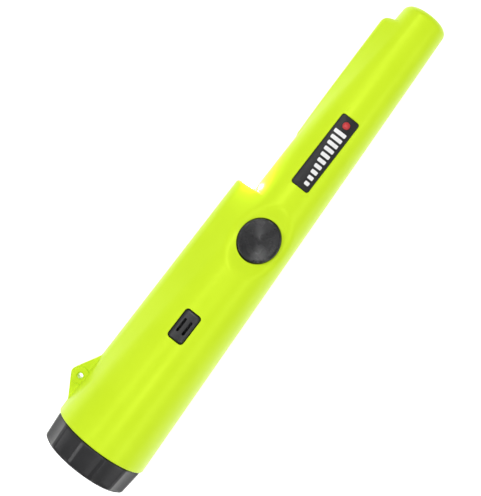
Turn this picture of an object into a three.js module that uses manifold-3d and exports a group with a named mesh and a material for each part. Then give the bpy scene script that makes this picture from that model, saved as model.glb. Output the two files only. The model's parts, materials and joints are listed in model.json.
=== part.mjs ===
// Hand-held metal-detecting pinpointer probe, in millimetres.
// +X runs along the probe from the battery cap to the sensing tip, +Y points to the side with the
// lanyard lug, the LED and the scraping blade, and +Z points to the side with the power button.
// The origin is the centre of the battery cap's flat end face.
import * as THREE from 'three';
import { mergeVertices } from 'three/addons/utils/BufferGeometryUtils.js';
import Module from 'manifold-3d';

const wasm = await Module();
wasm.setup();

// Overall body
const LENGTH = 241.6;
const BODY_REAR_X = 12;
const REAR_RADIUS = 22.1;
const TAPER = 0.051;
const WALL = 2.2;
const TIP_WALL = 4;
const HALF_SPLIT = 0.15;
const SKIN_SIDES = 42;
const CAVITY_SIDES = 28;

// Ridge along the top of the handle, ending in a step
const RIDGE_TOP = 22.3;
const CREST_RADIUS_REAR = 13;
const CREST_RADIUS_FRONT = 7.5;
const STEP_X = 136.4;
const STEP_SLOPE = 0.6;
const SHELF_TOP = 13.9;

// Rounded tip
const TIP_ROUND_X = 236.6;
const TIP_EDGE_X = 240.2;
const TIP_EDGE_DROP = 2.8;

// Power button in its finger scoop
const BUTTON = { x: 120.6, y: -1, halfX: 9.8, halfY: 8.9 };
const BUTTON_TOP = 14.7;
const BUTTON_CLEARANCE = 0.4;
const SCOOP = { halfX: 17.5, halfY: 13, depth: 2.9 };

// Trim in the front shell
const GRILLE = { x: 73.9, y: 1.8, length: 14.6, width: 8.1, corner: 1.6 };
const GRILLE_SLOT = { length: 6.6, width: 1.2, spacing: 2.9 };
const PLATE = { x: 166.4, y: -0.5, length: 36.6, width: 9.1, corner: 1.2, depth: 1.5 };
const FIT_GAP = 0.3;

// Battery cap, threaded collar and battery
const CAP = { length: 11.6, frontRadius: 22.2, rearRadius: 21.3, bore: 19.6, floor: 2.2 };
const CAP_FLUTES = 12;
const CAP_FLUTE_DEPTH = 0.55;
const COLLAR = { rearX: 3.4, frontX: 21.5, bore: 16.4, neck: 18.2, seat: 19 };
const BATTERY = { rearX: 4.6, length: 46.5, width: 26.5, thickness: 17.5 };
const BATTERY_FRONT_X = BATTERY.rearX + BATTERY.length;
const TERMINAL_OFFSET = 6.35;

// Board and what stands on it
const BOARD = { rearX: 64, frontX: 148, halfWidth: 9.2, top: 1, thickness: 1.6 };
const MOTOR = { x: 84, y: 0, z: 5.3, radius: 3.6, length: 15 };
const SHAFT_RADIUS = 0.8;

// Lamp in the step
const LAMP_Y = 17.3;
const LAMP_RADIUS = 2.5;

// Sensing coil in the tip
const ROD = { rearX: 168, frontX: 233.5, radius: 4.5 };

// Screws that hold the back shell to the front shell
const SCREW_PLACES = [[60.5, 13.6], [60.5, -13.6], [156, 6.2], [156, -6.2]];
const SCREW = { headRadius: 2.1, headTop: -11.4, headBottom: -13.1, shank: 1, tip: 5 };
const BOSS_RADIUS = 3.2;
const BOSS_TOP = 7.5;

const paint = {
  neon: new THREE.MeshStandardMaterial({ color: 0xd0f038, roughness: 0.4, metalness: 0 }),
  black: new THREE.MeshStandardMaterial({ color: 0x2c2d2f, roughness: 0.55, metalness: 0 }),
  rubber: new THREE.MeshStandardMaterial({ color: 0x202122, roughness: 0.85, metalness: 0 }),
  plate: new THREE.MeshStandardMaterial({ color: 0x1b1c20, roughness: 0.35, metalness: 0 }),
  lens: new THREE.MeshStandardMaterial({ color: 0xf4f8ff, roughness: 0.1, metalness: 0 }),
  steel: new THREE.MeshStandardMaterial({ color: 0xb9bcc0, roughness: 0.3, metalness: 1 }),
  brass: new THREE.MeshStandardMaterial({ color: 0xc9a24a, roughness: 0.35, metalness: 1 }),
  board: new THREE.MeshStandardMaterial({ color: 0x1f6b3a, roughness: 0.5, metalness: 0 }),
  ferrite: new THREE.MeshStandardMaterial({ color: 0x3a3a3e, roughness: 0.6, metalness: 0 }),
  copper: new THREE.MeshStandardMaterial({ color: 0xb56a35, roughness: 0.35, metalness: 1 }),
  blue: new THREE.MeshStandardMaterial({ color: 0x2a4fa0, roughness: 0.4, metalness: 0 }),
  red: new THREE.MeshStandardMaterial({ color: 0xb3221c, roughness: 0.5, metalness: 0 }),
};

const probe = new THREE.Group();

function addPart(name, geometry, material) {
  const mesh = new THREE.Mesh(geometry, material);
  mesh.name = name;
  probe.add(mesh);
}

// Vertices shared, collapsed triangles dropped and faces pointing out.
function tidy(geometry) {
  const bare = geometry.clone();
  bare.deleteAttribute('normal');
  bare.deleteAttribute('uv');
  const merged = mergeVertices(bare, 1e-4);
  const corners = merged.index.array;
  const point = merged.attributes.position;
  const triangles = [];
  const a = new THREE.Vector3();
  const b = new THREE.Vector3();
  const c = new THREE.Vector3();
  let volume = 0;
  for (let i = 0; i < corners.length; i += 3) {
    const [p, q, r] = [corners[i], corners[i + 1], corners[i + 2]];
    if (p === q || q === r || r === p) continue;
    triangles.push([p, q, r]);
    a.fromBufferAttribute(point, p);
    b.fromBufferAttribute(point, q);
    c.fromBufferAttribute(point, r);
    volume += a.dot(b.cross(c));
  }
  if (volume < 0) triangles.forEach((triangle) => triangle.reverse());
  merged.setIndex(triangles.flat());
  return merged;
}

function solid(geometry) {
  const closed = tidy(geometry);
  const vertProperties = new Float32Array(closed.attributes.position.array);
  const triVerts = new Uint32Array(closed.index.array);
  return new wasm.Manifold(new wasm.Mesh({ numProp: 3, vertProperties, triVerts }));
}

function fromSolid(body) {
  const mesh = body.getMesh();
  const geometry = new THREE.BufferGeometry();
  geometry.setAttribute('position', new THREE.BufferAttribute(mesh.vertProperties, 3));
  geometry.setIndex(new THREE.BufferAttribute(mesh.triVerts, 1));
  return geometry;
}

// Pairs of [x, radius] turned about the X axis.
function turned(profile, sides) {
  const points = profile.map(([x, radius]) => new THREE.Vector2(radius, x));
  const geometry = new THREE.LatheGeometry(points, sides);
  geometry.rotateZ(-Math.PI / 2);
  return tidy(geometry);
}

function ring(x0, x1, inner, outer, sides) {
  return turned([[x0, inner], [x0, outer], [x1, outer], [x1, inner], [x0, inner]], sides);
}

function rod(x0, x1, radius, sides) {
  return turned([[x0, 0], [x0, radius], [x1, radius], [x1, 0]], sides);
}

function box(x0, x1, y0, y1, z0, z1) {
  const geometry = new THREE.BoxGeometry(x1 - x0, y1 - y0, z1 - z0);
  geometry.translate((x0 + x1) / 2, (y0 + y1) / 2, (z0 + z1) / 2);
  return geometry;
}

function upright(x, y, z0, z1, radius, sides) {
  const geometry = new THREE.CylinderGeometry(radius, radius, z1 - z0, sides);
  geometry.rotateX(Math.PI / 2);
  geometry.translate(x, y, (z0 + z1) / 2);
  return geometry;
}

function roundedPrism(length, width, corner, z0, z1) {
  const halfX = length / 2 - corner;
  const halfY = width / 2 - corner;
  const outline = new THREE.Shape();
  outline.absarc(halfX, halfY, corner, 0, Math.PI / 2);
  outline.absarc(-halfX, halfY, corner, Math.PI / 2, Math.PI);
  outline.absarc(-halfX, -halfY, corner, Math.PI, Math.PI * 1.5);
  outline.absarc(halfX, -halfY, corner, Math.PI * 1.5, Math.PI * 2);
  const options = { depth: z1 - z0, bevelEnabled: false, curveSegments: 4 };
  const geometry = new THREE.ExtrudeGeometry(outline, options);
  geometry.translate(0, 0, z0);
  return geometry;
}

// An oval prism about the button's centre line.
function buttonPrism(grow, z0, z1) {
  const geometry = upright(0, 0, z0, z1, 1, 36);
  geometry.scale(BUTTON.halfX + grow, BUTTON.halfY + grow, 1);
  geometry.translate(BUTTON.x, BUTTON.y, 0);
  return geometry;
}

function blendAt(value, start, end) {
  return THREE.MathUtils.clamp((value - start) / (end - start), 0, 1);
}

function coneRadius(x) {
  return REAR_RADIUS - TAPER * (x - BODY_REAR_X);
}

// A base circle and a smaller crest circle that reaches up to top, joined by tangent lines.
function crestedRadius(base, top, crest, angle) {
  const centre = top - crest;
  const tangent = Math.acos(Math.min(1, (base - crest) / centre));
  const crestEnd = Math.atan2(crest * Math.sin(tangent), centre + crest * Math.cos(tangent));
  const turn = Math.abs(angle);
  if (turn >= tangent) return base;
  if (turn >= crestEnd) return base / Math.cos(tangent - turn);
  return centre * Math.cos(turn) + Math.sqrt(crest ** 2 - (centre * Math.sin(turn)) ** 2);
}

// Handle section: the cone with the grip ridge along its top.
function handleRadius(x, angle) {
  const along = blendAt(x, BODY_REAR_X, STEP_X);
  const crest = THREE.MathUtils.lerp(CREST_RADIUS_REAR, CREST_RADIUS_FRONT, along);
  return crestedRadius(coneRadius(x), RIDGE_TOP, crest, angle);
}

// Front section: the cone with a level shelf in front of the lamp.
function frontRadius(x, angle) {
  const shelf = SHELF_TOP / Math.max(Math.cos(angle), 0.01);
  return Math.min(coneRadius(x), shelf);
}

// Depth of the finger scoop round the button.
function scoopDepth(x, across) {
  const reach = Math.hypot((x - BUTTON.x) / SCOOP.halfX, (across - BUTTON.y) / SCOOP.halfY);
  if (reach >= 1) return 0;
  return SCOOP.depth * (0.5 + 0.5 * Math.cos(Math.PI * reach ** 2));
}

// Distance from the axis to the outer skin; angle 0 is +Y and a quarter turn is +Z.
function skinRadius(x, angle) {
  const step = blendAt(x, STEP_X, STEP_X + STEP_SLOPE);
  let radius = THREE.MathUtils.lerp(handleRadius(x, angle), frontRadius(x, angle), step);
  if (Math.sin(angle) > 0) radius -= scoopDepth(x, radius * Math.cos(angle));
  const round = blendAt(x, TIP_ROUND_X, TIP_EDGE_X);
  return radius - TIP_EDGE_DROP * (1 - Math.sqrt(1 - 0.9 * round ** 2));
}

function cavityRadius(x, angle) {
  const near = [x - WALL, x, x + WALL].map((place) => skinRadius(place, angle));
  return Math.min(...near) - WALL;
}

// A closed skin through stations along X, whose last ring closes to a point at endX.
function lofted(stations, sides, radiusAt, endX) {
  const geometry = new THREE.CylinderGeometry(1, 1, 1, sides, stations.length - 1);
  const point = geometry.attributes.position;
  for (let i = 0; i < point.count; i += 1) {
    const station = Math.round((point.getY(i) + 0.5) * (stations.length - 1));
    const reach = Math.hypot(point.getX(i), point.getZ(i));
    const angle = Math.atan2(point.getZ(i), point.getX(i));
    const isTip = station === stations.length - 1 && reach < 0.5;
    const radius = reach < 0.5 ? 0 : radiusAt(stations[station], angle);
    const x = isTip ? endX : stations[station];
    point.setXYZ(i, x, radius * Math.cos(angle), radius * Math.sin(angle));
  }
  return tidy(geometry);
}

// Triangular lug for a lanyard, with a raised ring round its hole.
const LUG = { rearX: 17.6, peakX: 28.9, peakY: 28.9, frontX: 40.4, holeX: 28.9, holeY: 24 };
const LUG_WEB = 5.2;
const LUG_RING = { thickness: 6.8, radius: 3.85, hole: 1.2 };

function lugSolid() {
  const web = new THREE.Shape();
  web.moveTo(LUG.rearX, 17);
  web.lineTo(LUG.rearX, RIDGE_TOP);
  web.lineTo(LUG.peakX - 1.8, LUG.peakY - 0.6);
  web.quadraticCurveTo(LUG.peakX, LUG.peakY + 0.6, LUG.peakX + 1.8, LUG.peakY - 0.6);
  web.lineTo(LUG.frontX - 3, RIDGE_TOP + 1.7);
  web.quadraticCurveTo(LUG.frontX, RIDGE_TOP, LUG.frontX + 3.5, RIDGE_TOP - 0.2);
  web.lineTo(LUG.frontX + 3.5, 17);
  const options = { depth: LUG_WEB, bevelEnabled: false, curveSegments: 5 };
  const plate = new THREE.ExtrudeGeometry(web, options).translate(0, 0, -LUG_WEB / 2);
  const half = LUG_RING.thickness / 2;
  const boss = upright(LUG.holeX, LUG.holeY, -half, half, LUG_RING.radius, 20);
  return solid(plate).add(solid(boss));
}

// Scraping blade along the top of the front tube.
const BLADE = { rearX: 165, frontX: 230.6, rearTop: 13.9, frontTop: 15.4, crest: 3, nose: 3.4 };

function bladeRadius(x, angle) {
  const rise = Math.sqrt(blendAt(x, BLADE.rearX, BLADE.frontX));
  const nose = blendAt(x, BLADE.frontX - BLADE.nose, BLADE.frontX);
  const drop = BLADE.nose * (1 - Math.sqrt(1 - 0.95 * nose ** 2));
  const top = THREE.MathUtils.lerp(BLADE.rearTop, BLADE.frontTop, rise) - drop;
  const base = coneRadius(x);
  const radius = crestedRadius(base, top, BLADE.crest, angle);
  return radius > base + 0.01 ? radius : base - 1;
}

function bladeSolid() {
  const stations = [BLADE.rearX, 172, 180, 195, 212, 227.2, 228.9, 230, BLADE.frontX];
  return solid(lofted(stations, SKIN_SIDES, bladeRadius, BLADE.frontX));
}

const SKIN_STATIONS = [
  BODY_REAR_X, 36, 60, 82, 97, 103.5, 108, 112.5, 117, 121.5, 126, 130.5, 135.6, STEP_X,
  STEP_X + STEP_SLOPE, 139.5, 150, 163, 185, 210, TIP_ROUND_X, 238.4, 239.6, TIP_EDGE_X,
];
const CAVITY_STATIONS = [
  BODY_REAR_X - 4, 60, 97, 104, 110, 116, 122, 128, 133.4, 134.6, 139, 165, 200,
  LENGTH - TIP_WALL - 2.5, LENGTH - TIP_WALL,
];

const skin = solid(lofted(SKIN_STATIONS, SKIN_SIDES, skinRadius, LENGTH));
const cavity = solid(
  lofted(CAVITY_STATIONS, CAVITY_SIDES, cavityRadius, LENGTH - TIP_WALL),
);

function halfSpace(isFront) {
  const [low, high] = isFront ? [HALF_SPLIT, 40] : [-40, -HALF_SPLIT];
  return solid(box(-10, 260, -40, 40, low, high));
}

function drilled(shell, cutters) {
  return cutters.reduce((left, cutter) => left.subtract(cutter), shell);
}

function housing() {
  const lugHole = solid(upright(LUG.holeX, LUG.holeY, -9, 9, LUG_RING.hole, 16));
  const lampBore = solid(rod(120, 145, LAMP_RADIUS + 0.6, 18).translate(0, LAMP_Y, 0));
  const whole = skin.add(lugSolid()).add(bladeSolid()).subtract(cavity);
  return drilled(whole, [lugHole, lampBore]);
}

function plateCutter(grow, floorDepth, height) {
  const prism = roundedPrism(
    PLATE.length + 2 * grow, PLATE.width + 2 * grow, PLATE.corner + grow, -floorDepth, height,
  );
  prism.rotateY(Math.atan(TAPER));
  prism.translate(PLATE.x, PLATE.y, coneRadius(PLATE.x));
  return solid(prism);
}

function grilleCutter(grow, z0) {
  const prism = roundedPrism(
    GRILLE.length + 2 * grow, GRILLE.width + 2 * grow, GRILLE.corner + grow, z0, 30,
  );
  prism.translate(GRILLE.x, GRILLE.y, 0);
  return solid(prism);
}

function addShells(whole) {
  let front = whole.intersect(halfSpace(true));
  let back = whole.intersect(halfSpace(false));
  for (const [x, y] of SCREW_PLACES) {
    const frontBoss = solid(upright(x, y, HALF_SPLIT, BOSS_TOP, BOSS_RADIUS, 16));
    const frontWeb = solid(upright(x, y, BOSS_TOP - 1, 20, BOSS_RADIUS, 16));
    const backBoss = solid(upright(x, y, -20, -HALF_SPLIT, BOSS_RADIUS, 16));
    front = front.add(frontBoss.add(frontWeb).intersect(skin));
    back = back.add(backBoss.intersect(skin));
    front = front.subtract(solid(upright(x, y, -1, BOSS_TOP - 1.5, SCREW.shank + FIT_GAP, 12)));
    back = back.subtract(solid(upright(x, y, -20, 1, SCREW.shank + FIT_GAP, 12)));
    const headSeat = SCREW.headTop + FIT_GAP;
    back = back.subtract(solid(upright(x, y, -25, headSeat, SCREW.headRadius + FIT_GAP, 16)));
  }
  const buttonHole = solid(buttonPrism(BUTTON_CLEARANCE, 4, 30));
  front = drilled(front, [buttonHole, grilleCutter(0, 10), plateCutter(0, PLATE.depth, 12)]);
  addPart('front_shell', fromSolid(front), paint.neon);
  addPart('back_shell', fromSolid(back), paint.neon);
}

function addTrim() {
  let grille = skin.intersect(grilleCutter(-FIT_GAP, 15));
  for (const side of [-1, 1]) {
    const slot = roundedPrism(GRILLE_SLOT.length, GRILLE_SLOT.width, 0.5, 5, 40);
    slot.translate(GRILLE.x, GRILLE.y + (side * GRILLE_SLOT.spacing) / 2, 0);
    grille = grille.subtract(solid(slot));
  }
  addPart('speaker_grille', fromSolid(grille), paint.black);
  const plate = skin.intersect(plateCutter(-FIT_GAP, PLATE.depth - FIT_GAP, 12));
  addPart('name_plate', fromSolid(plate), paint.plate);
}

// Screw cap with shallow flutes, open towards the body.
function addCap() {
  const outerAt = (x, angle) => {
    const rear = CAP.rearRadius - 1.4 * (1 - Math.sqrt(1 - (1 - blendAt(x, 0, 1.5)) ** 2));
    const along = blendAt(x, 1.5, CAP.length);
    const round = THREE.MathUtils.lerp(rear, CAP.frontRadius, along);
    return round - CAP_FLUTE_DEPTH * (0.5 + 0.5 * Math.cos(CAP_FLUTES * angle));
  };
  const stations = [0, 0.4, 1.5, CAP.length];
  const outer = solid(lofted(stations, CAP_FLUTES * 6, outerAt, CAP.length));
  const bore = solid(rod(CAP.floor, CAP.length + 3, CAP.bore, 36));
  addPart('battery_cap', fromSolid(outer.subtract(bore)), paint.black);
  addPart('cap_pad', rod(CAP.floor + FIT_GAP, BATTERY.rearX - FIT_GAP, 15, 24), paint.rubber);
}

// Collar glued into the rear of the shells; its neck carries the cap's thread.
function addCollar() {
  const grooveX = 9.3;
  const grooveEnd = 11.4;
  const grooveFloor = 17.2;
  const profile = [
    [COLLAR.rearX, COLLAR.bore], [COLLAR.rearX, COLLAR.neck], [grooveX, COLLAR.neck],
    [grooveX, grooveFloor], [grooveEnd, grooveFloor], [grooveEnd, COLLAR.neck],
    [BODY_REAR_X + 0.4, COLLAR.neck], [BODY_REAR_X + 0.4, COLLAR.seat],
    [COLLAR.frontX, COLLAR.seat], [COLLAR.frontX, COLLAR.bore], [COLLAR.rearX, COLLAR.bore],
  ];
  addPart('threaded_collar', turned(profile, 28), paint.black);
  const sealSection = [];
  for (let i = 0; i <= 6; i += 1) {
    const turn = (i * Math.PI) / 3;
    sealSection.push([10.35 + 0.75 * Math.cos(turn), 18.35 + 0.8 * Math.sin(turn)]);
  }
  addPart('cap_seal', turned(sealSection, 24), paint.rubber);
}

function addBattery() {
  const case_ = new THREE.Shape();
  const halfWidth = BATTERY.width / 2;
  const halfThick = BATTERY.thickness / 2;
  const corner = 2;
  case_.absarc(halfWidth - corner, halfThick - corner, corner, 0, Math.PI / 2);
  case_.absarc(corner - halfWidth, halfThick - corner, corner, Math.PI / 2, Math.PI);
  case_.absarc(corner - halfWidth, corner - halfThick, corner, Math.PI, Math.PI * 1.5);
  case_.absarc(halfWidth - corner, corner - halfThick, corner, Math.PI * 1.5, Math.PI * 2);
  const options = { depth: BATTERY.length, bevelEnabled: false, curveSegments: 3 };
  const block = new THREE.ExtrudeGeometry(case_, options);
  block.applyMatrix4(new THREE.Matrix4().makeBasis(
    new THREE.Vector3(0, 1, 0), new THREE.Vector3(0, 0, 1), new THREE.Vector3(1, 0, 0),
  ));
  block.translate(BATTERY.rearX, 0, 0);
  addPart('battery_case', tidy(block), paint.blue);
  const studX = BATTERY_FRONT_X + FIT_GAP;
  const plus = rod(studX, studX + 2, 2.7, 16).translate(0, TERMINAL_OFFSET, 0);
  const minus = rod(studX, studX + 2, 3.4, 6).translate(0, -TERMINAL_OFFSET, 0);
  addPart('battery_plus_stud', plus, paint.steel);
  addPart('battery_minus_stud', minus, paint.steel);
  const snapX = studX + 2.3;
  addPart('battery_snap', box(snapX, snapX + 2.4, -12.4, 12.4, -5.6, 5.6), paint.rubber);
  addLead('red_lead', snapX + 2.7, TERMINAL_OFFSET, paint.red);
  addLead('black_lead', snapX + 2.7, -TERMINAL_OFFSET, paint.rubber);
}

// A lead from the battery snap up to the board's rear edge.
function addLead(name, x, y, material) {
  const path = new THREE.CatmullRomCurve3([
    new THREE.Vector3(x, y, 0), new THREE.Vector3(x + 1.6, y, 0.2),
    new THREE.Vector3(x + 4, y * 0.9, 2.2), new THREE.Vector3(x + 7.5, y * 0.8, 3.4),
    new THREE.Vector3(x + 11, y * 0.75, 2.6), new THREE.Vector3(x + 12.2, y * 0.75, 1.4),
  ]);
  const section = new THREE.Shape();
  section.absarc(0, 0, 0.6, 0, Math.PI * 2);
  const options = { steps: 12, extrudePath: path, curveSegments: 4, bevelEnabled: false };
  addPart(name, tidy(new THREE.ExtrudeGeometry(section, options)), material);
}

function addBoard() {
  const { rearX, frontX, halfWidth, top, thickness } = BOARD;
  addPart('main_board', box(rearX, frontX, -halfWidth, halfWidth, top - thickness, top), paint.board);
  const onTop = top + FIT_GAP;
  const below = top - thickness - FIT_GAP;
  addPart('main_chip', box(134, 144, -5, 5, onTop, onTop + 1.6), paint.rubber);
  addPart('quartz_can', roundedCan(131, -4.6), paint.steel);
  addPart('audio_amplifier', box(88, 94, -3, 3, below - 1.6, below), paint.rubber);
  addPart('capacitor_1', upright(102, 4, below - 7, below, 3.2, 16), paint.blue);
  addPart('capacitor_2', upright(110, -4, below - 7, below, 3.2, 16), paint.blue);
  addPart('tuning_coil', upright(140, 0, below - 5, below, 4.5, 18), paint.copper);

  function roundedCan(x, y) {
    const can = roundedPrism(4.6, 8, 2.2, onTop, onTop + 3);
    can.translate(x, y, 0);
    return can;
  }
}

function addButton() {
  const stem = 2.4;
  const wide = BUTTON.halfY;
  const profile = [
    [7.4, 0], [7.4, stem], [11, stem], [11, wide - 0.4], [11.4, wide], [BUTTON_TOP - 0.5, wide],
    [BUTTON_TOP, wide - 0.5], [BUTTON_TOP, wide - 1.2], [BUTTON_TOP - 0.75, 0],
  ];
  addPart('power_button', raised(profile, 30), paint.black);
  const boot = [[8.6, 2.8], [8.6, 9.3], [9.3, 9.3], [9.3, 2.8], [8.6, 2.8]];
  addPart('button_boot', raised(boot, 24), paint.rubber);
  const well = solid(upright(BUTTON.x, BUTTON.y, 0, 8, 2.1, 16));
  const half = 6;
  const block = box(
    BUTTON.x - half, BUTTON.x + half, BUTTON.y - half, BUTTON.y + half,
    BOARD.top + FIT_GAP, 5.2,
  );
  addPart('switch_body', fromSolid(solid(block).subtract(well)), paint.black);
  addPart('switch_plunger', upright(BUTTON.x, BUTTON.y, 3.6, 7.1, 1.7, 16), paint.rubber);

  // Pairs of [height, radius] turned about the button's centre line and stretched to its oval.
  function raised(heights, sides) {
    const points = heights.map(([z, radius]) => new THREE.Vector2(radius, z));
    const geometry = new THREE.LatheGeometry(points, sides);
    geometry.rotateX(Math.PI / 2);
    geometry.scale(BUTTON.halfX / BUTTON.halfY, 1, 1);
    geometry.translate(BUTTON.x, BUTTON.y, 0);
    return tidy(geometry);
  }
}

function addSpeaker() {
  const gasket = new THREE.Shape();
  gasket.absarc(0, 0, 8.2, 0, Math.PI * 2);
  const opening = new THREE.Path();
  opening.absarc(0, 0, 6.6, 0, Math.PI * 2, true);
  gasket.holes.push(opening);
  const options = { depth: 0.7, bevelEnabled: false, curveSegments: 10 };
  const washer = new THREE.ExtrudeGeometry(gasket, options);
  washer.translate(GRILLE.x, GRILLE.y, 12.3);
  addPart('speaker_gasket', washer, paint.rubber);
  addPart('piezo_speaker', upright(GRILLE.x, GRILLE.y, 8, 12, 8.2, 24), paint.black);
}

function addMotor() {
  const end = MOTOR.x + MOTOR.length;
  const place = (geometry) => geometry.translate(0, MOTOR.y, MOTOR.z);
  addPart('motor_can', place(rod(MOTOR.x, end, MOTOR.radius, 20)), paint.steel);
  addPart('motor_shaft', place(rod(end + FIT_GAP, end + 7, SHAFT_RADIUS, 12)), paint.steel);
  const sector = new THREE.Shape();
  sector.absarc(0, 0, 3.2, Math.PI, Math.PI * 2);
  sector.absarc(0, 0, 1.8, 0, Math.PI);
  const bore = new THREE.Path();
  bore.absarc(0, 0, SHAFT_RADIUS + FIT_GAP, 0, Math.PI * 2, true);
  sector.holes.push(bore);
  const options = { depth: 4.4, bevelEnabled: false, curveSegments: 8 };
  const weight = new THREE.ExtrudeGeometry(sector, options);
  weight.rotateY(Math.PI / 2);
  weight.rotateX(-Math.PI / 2);
  weight.translate(end + 1.8, 0, 0);
  addPart('motor_weight', tidy(place(weight)), paint.brass);
}

function addLamp() {
  const dome = [];
  for (let i = 0; i <= 4; i += 1) {
    const turn = (i * Math.PI) / 8;
    dome.push([136.2 + LAMP_RADIUS * Math.sin(turn), LAMP_RADIUS * Math.cos(turn)]);
  }
  dome[dome.length - 1][1] = 0;
  const lamp = [[129.4, 0], [129.4, 2.9], [130.4, 2.9], [130.4, LAMP_RADIUS], ...dome];
  addPart('led_lamp', turned(lamp, 18).translate(0, LAMP_Y, 0), paint.lens);
  addPart('led_board', box(127, 128.6, 13, 18.8, -3.2, 3.2), paint.board);
}

function addCoil() {
  addPart('ferrite_rod', rod(ROD.rearX, ROD.frontX, ROD.radius, 20), paint.ferrite);
  const bore = ROD.radius + FIT_GAP;
  const flange = 7.9;
  const tube = bore + 0.8;
  const flangeXs = [180, 204, 228];
  const profile = [[flangeXs[0], bore]];
  for (const x of flangeXs) {
    profile.push([x, x === flangeXs[0] ? flange : tube]);
    if (x !== flangeXs[0]) profile.push([x, flange]);
    profile.push([x + 1.4, flange], [x + 1.4, tube]);
  }
  profile.pop();
  profile.push([flangeXs[2] + 1.4, bore], [flangeXs[0], bore]);
  addPart('coil_bobbin', turned(profile, 18), paint.black);
  const names = ['transmit_winding', 'receive_winding'];
  names.forEach((name, i) => {
    const start = flangeXs[i] + 1.4 + FIT_GAP;
    const end = flangeXs[i + 1] - FIT_GAP;
    addPart(name, ring(start, end, tube + FIT_GAP, flange - 0.5, 24), paint.copper);
  });
  addPart('rod_cushion', ring(169, 177, bore, 9.6, 20), paint.rubber);
}

// Wall that stops the battery, between the rear screw bosses, with a hole for each lead.
function addBulkhead() {
  const halfWidth = 9.9;
  const disc = solid(rod(61.5, 62.9, 16.4, 28));
  const wall = disc.intersect(solid(box(60, 64, -halfWidth, halfWidth, -20, 20)));
  const leads = [5.4, -5.4].map((y) => solid(rod(60, 64, 1.9, 12).translate(0, y, 2.9)));
  addPart('battery_bulkhead', fromSolid(drilled(wall, leads)), paint.black);
}

function addScrews() {
  SCREW_PLACES.forEach(([x, y], i) => {
    const points = [
      [SCREW.headBottom, 0], [SCREW.headBottom, SCREW.headRadius],
      [SCREW.headTop, SCREW.headRadius], [SCREW.headTop, SCREW.shank],
      [SCREW.tip - 1, SCREW.shank], [SCREW.tip, 0],
    ].map(([z, radius]) => new THREE.Vector2(radius, z));
    const geometry = new THREE.LatheGeometry(points, 12);
    geometry.rotateX(Math.PI / 2);
    geometry.translate(x, y, 0);
    addPart(`shell_screw_${i + 1}`, tidy(geometry), paint.steel);
  });
}

addShells(housing());
addTrim();
addCap();
addCollar();
addBattery();
addBulkhead();
addBoard();
addButton();
addSpeaker();
addMotor();
addLamp();
addCoil();
addScrews();

export default probe;
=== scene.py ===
"""Pinpointer probe: fine shells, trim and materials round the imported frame.

Lengths are in millimetres up to the point where a mesh is made, and in metres from there on.
+X runs from the battery cap to the tip, +Y to the lug and blade side, +Z to the button side.
"""

import json
import math

import bmesh
import bpy
import numpy as np
from mathutils import Matrix, Vector


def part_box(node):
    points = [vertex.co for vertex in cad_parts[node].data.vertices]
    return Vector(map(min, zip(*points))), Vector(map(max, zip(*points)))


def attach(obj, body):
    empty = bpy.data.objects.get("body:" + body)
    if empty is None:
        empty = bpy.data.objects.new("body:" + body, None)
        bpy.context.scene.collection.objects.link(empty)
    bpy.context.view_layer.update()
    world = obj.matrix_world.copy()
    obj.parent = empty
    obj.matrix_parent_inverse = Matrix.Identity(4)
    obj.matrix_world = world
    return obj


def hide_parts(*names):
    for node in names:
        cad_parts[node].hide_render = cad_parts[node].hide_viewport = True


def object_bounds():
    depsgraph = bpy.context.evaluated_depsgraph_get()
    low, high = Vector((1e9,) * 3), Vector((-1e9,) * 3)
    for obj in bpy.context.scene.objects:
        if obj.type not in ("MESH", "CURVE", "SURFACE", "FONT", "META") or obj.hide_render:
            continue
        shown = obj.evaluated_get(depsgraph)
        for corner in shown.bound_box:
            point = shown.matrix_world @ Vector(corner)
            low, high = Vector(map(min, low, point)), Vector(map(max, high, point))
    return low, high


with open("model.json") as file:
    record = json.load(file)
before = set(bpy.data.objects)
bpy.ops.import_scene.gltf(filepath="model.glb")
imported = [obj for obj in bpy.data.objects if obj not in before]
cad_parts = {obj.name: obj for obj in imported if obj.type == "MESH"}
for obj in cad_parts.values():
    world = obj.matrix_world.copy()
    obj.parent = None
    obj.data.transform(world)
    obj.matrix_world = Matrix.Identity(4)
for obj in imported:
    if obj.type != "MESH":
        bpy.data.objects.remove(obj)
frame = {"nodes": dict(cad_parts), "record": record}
CAD_LOW, CAD_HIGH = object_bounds()

MM = 0.001
TURN = 2 * math.pi

# Skin of the two shells: the frame's driving sizes, with finer edges and a closer seam
TAPER = 0.051
REAR_RADIUS = 22.1
WALL = 2.2
TIP_WALL = 4
RIDGE_TOP = 22.3
CREST_REAR = 13
CREST_FRONT = 7.5
STEP_X = 136.4
STEP_FOOT = 0.7
STEP_ROUND = 1.3
SHELF_TOP = 13.9
REAR_EDGE = 0.6
SEAM_HALF = 0.06

# Rounded tip
TIP_FILLET = 3.2
TIP_DOME = 1.4

# Finger scoop round the button
SCOOP_HALF_X = 17.5
SCOOP_HALF_Y = 13
SCOOP_DEPTH = 2.9

# Lanyard lug
LUG_PEAK_X = 28.9
LUG_PEAK_Y = 29.1
LUG_REAR_SLOPE = 0.62
LUG_FRONT_SLOPE = 0.57
LUG_HALF = 2.6
LUG_HOLE_Y = 24
LUG_HOLE_RADIUS = 1.2
LUG_RING_RADIUS = 3.85
LUG_RING_HALF = 3.4

# Scraping blade
BLADE_REAR_X = 165
BLADE_FRONT_X = 230.6
BLADE_TOP_REAR = 13.9
BLADE_TOP_FRONT = 15.4
BLADE_CREST = 3
BLADE_NOSE = 3.4

# Battery cap
CAP_FLUTES = 12
CAP_FLUTE_DEPTH = 0.9
CAP_FLUTE_SHARE = 0.84
CAP_BORE = 19.6
CAP_FLOOR = 2.2

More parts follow.
